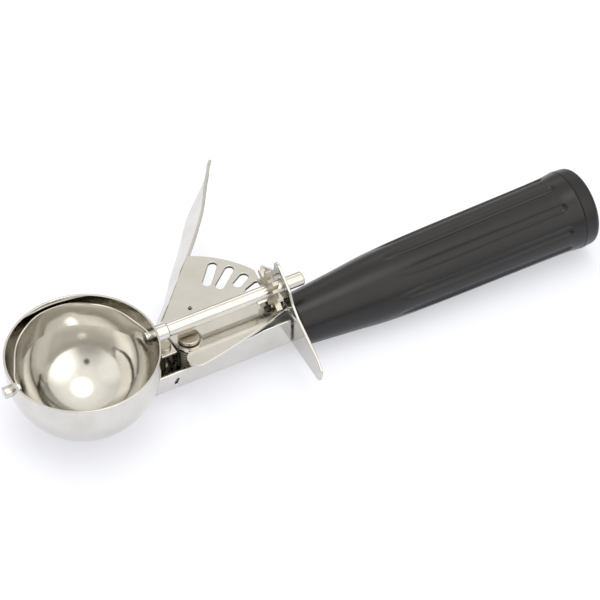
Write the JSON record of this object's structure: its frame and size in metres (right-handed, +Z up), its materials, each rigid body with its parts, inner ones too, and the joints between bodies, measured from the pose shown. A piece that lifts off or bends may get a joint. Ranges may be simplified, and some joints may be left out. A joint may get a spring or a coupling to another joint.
{
  "type": "lever ice cream scoop",
  "caption": "Thumb-lever ice cream scoop: a round steel bowl with a sweeping scraper blade, turned by a sprung slotted sector, on a fluted black grip.",
  "frame": {"origin": "centre of the bowl's rim", "axes": "+X runs back along the blade shaft to the handle, +Z is up out of the bowl's mouth, +Y is the side where the thumb lever stands out"},
  "size_m": [0.2193, 0.0998, 0.0378],
  "materials": {
    "bowl_steel": "polished stainless steel",
    "blade_steel": "polished spring strip",
    "frame_steel": "polished folded sheet",
    "lever_steel": "polished stamped sheet",
    "turned_steel": "turned and polished",
    "spring_steel": "drawn wire",
    "rod_steel": "zinc plated",
    "grip_plastic": "satin moulded"
  },
  "bodies": {
    "frame": {"bowl": "bowl_steel", "front_pivot_pin": "turned_steel", "front_pivot_spacer": "turned_steel", "rear_bearing_collar": "turned_steel", "neck_channel": "frame_steel", "bridge_plate": "frame_steel", "bridge_rivet": "turned_steel", "guard_plate": "frame_steel", "pivot_rivet": "turned_steel", "pivot_washer": "turned_steel", "pivot_bushing": "turned_steel", "return_spring": "spring_steel", "handle_tang": "rod_steel", "handle_ferrule": "turned_steel", "handle_grip": "grip_plastic", "handle_end_cap": "grip_plastic", "tang_nut": "rod_steel", "tang_washer": "rod_steel"},
    "lever": {"thumb_lever": "lever_steel"},
    "drive": {"drive_shaft": "turned_steel", "pinion": "turned_steel", "pinion_key": "turned_steel", "scraper_blade": "blade_steel"}
  },
  "joints": [
    {"name": "lever_press", "type": "hinge", "parent": "frame", "child": "lever", "pos_m": [0.037, -0.002, -0.0124], "axis": [0, 0, -1], "range_deg": [0, 36], "stiffness_Nm_per_rad": 0.6, "springref_deg": -28.65, "deforming": ["return_spring"]},
    {"name": "blade_sweep", "type": "hinge", "parent": "frame", "child": "drive", "pos_m": [0, 0, -0.0054], "axis": [-1, 0, 0], "range_deg": [0, 162]}
  ],
  "couplings": [
    {"joint": "blade_sweep", "follows": "lever_press", "ratio": 4.5}
  ]
}
